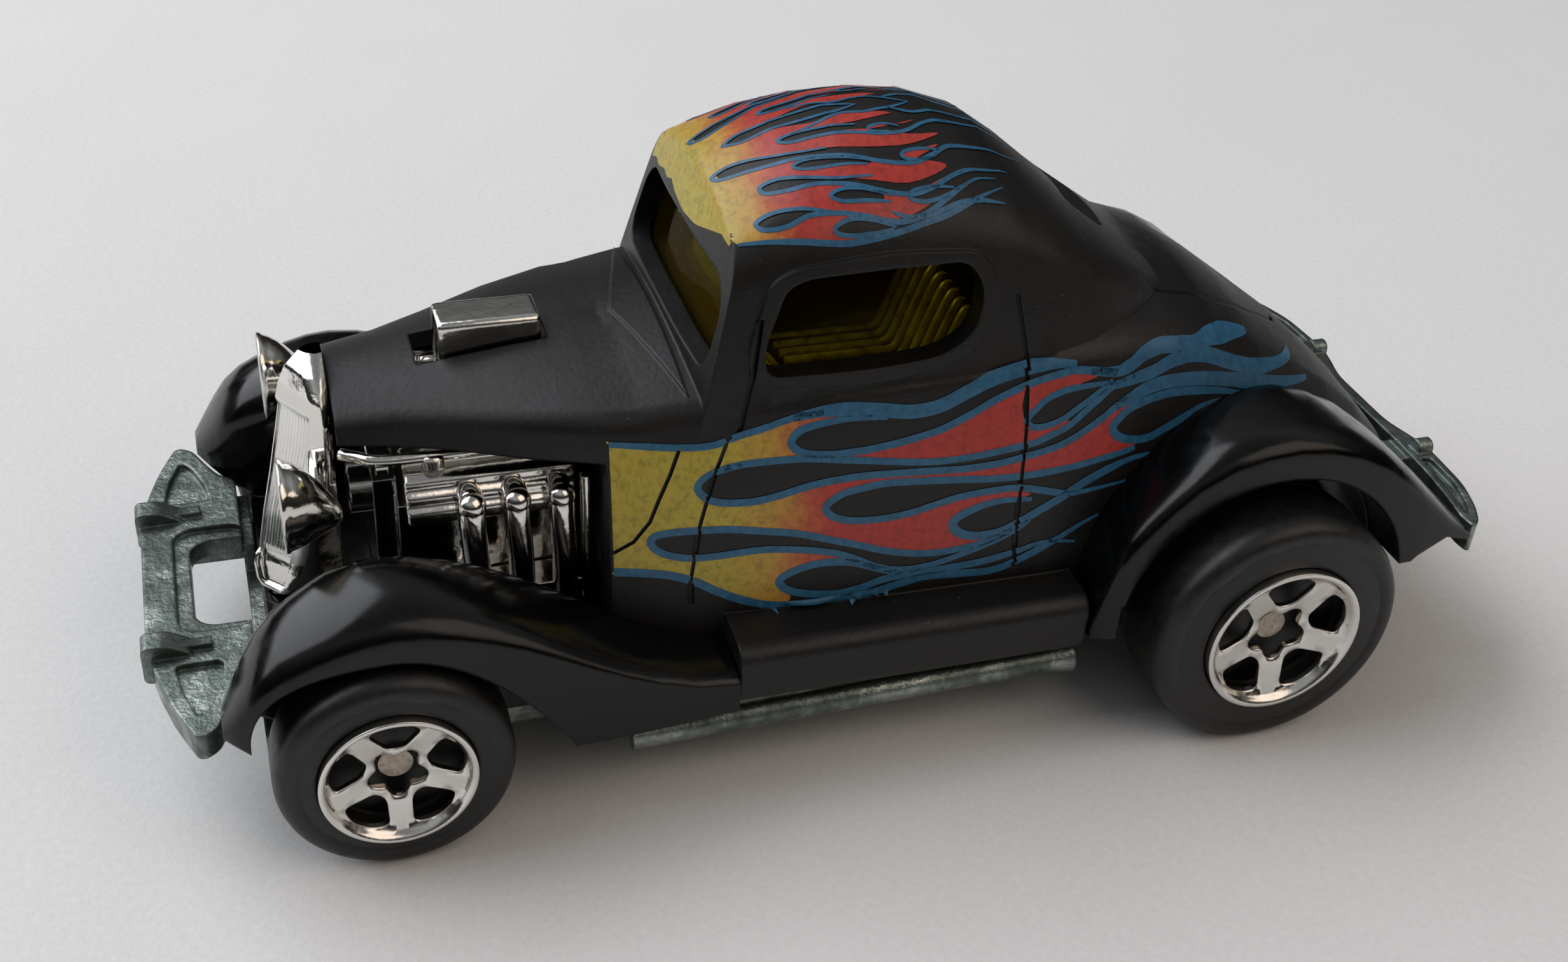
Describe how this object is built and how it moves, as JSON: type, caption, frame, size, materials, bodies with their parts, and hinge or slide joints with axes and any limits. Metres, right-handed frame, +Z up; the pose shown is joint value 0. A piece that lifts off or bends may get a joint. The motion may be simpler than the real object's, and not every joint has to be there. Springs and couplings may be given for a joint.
{
  "type": "die-cast toy hot rod coupe",
  "caption": "Die-cast toy hot rod: a 1930s style coupe with an open engine, flame decoration and free-rolling wheels.",
  "frame": {"origin": "middle of the footprint, at the height of the surface that the wheels stand on", "axes": "+Y to the rear, -Y to the nose, +X to the car's left side, +Z up"},
  "size_m": [0.03, 0.0624, 0.0271],
  "materials": {
    "body_paint": "satin black paint with printed flames",
    "fender_plastic": "glossy black moulding",
    "bare_zinc": "bare die-cast zinc",
    "chrome_plate": "vacuum-plated plastic",
    "tinted_glazing": "clear yellow",
    "interior_plastic": "satin",
    "axle_steel": "drawn wire",
    "wheel_plastic": "satin black",
    "rim_foil": "hot-stamped foil"
  },
  "bodies": {
    "car": {"body_shell": "body_paint", "fender_moulding": "fender_plastic", "chassis_base": "bare_zinc", "grille_and_headlamps": "chrome_plate", "engine": "chrome_plate", "hood_scoop": "chrome_plate", "glazing": "tinted_glazing", "interior": "interior_plastic", "steering_wheel": "interior_plastic", "front_axle": "axle_steel", "rear_axle": "axle_steel"},
    "wheel_front_left_body": {"wheel_front_left": "wheel_plastic", "rim_face_front_left": "rim_foil"},
    "wheel_front_right_body": {"wheel_front_right": "wheel_plastic", "rim_face_front_right": "rim_foil"},
    "wheel_rear_left_body": {"wheel_rear_left": "wheel_plastic", "rim_face_rear_left": "rim_foil"},
    "wheel_rear_right_body": {"wheel_rear_right": "wheel_plastic", "rim_face_rear_right": "rim_foil"}
  },
  "joints": [
    {"name": "front_left_roll", "type": "hinge", "parent": "car", "child": "wheel_front_left_body", "pos_m": [0.01303, -0.02165, 0.00495], "axis": [1, 0, 0], "continuous": true},
    {"name": "front_right_roll", "type": "hinge", "parent": "car", "child": "wheel_front_right_body", "pos_m": [-0.01303, -0.02165, 0.00495], "axis": [1, 0, 0], "continuous": true},
    {"name": "rear_left_roll", "type": "hinge", "parent": "car", "child": "wheel_rear_left_body", "pos_m": [0.01458, 0.01791, 0.0061], "axis": [1, 0, 0], "continuous": true},
    {"name": "rear_right_roll", "type": "hinge", "parent": "car", "child": "wheel_rear_right_body", "pos_m": [-0.01458, 0.01791, 0.0061], "axis": [1, 0, 0], "continuous": true}
  ]
}
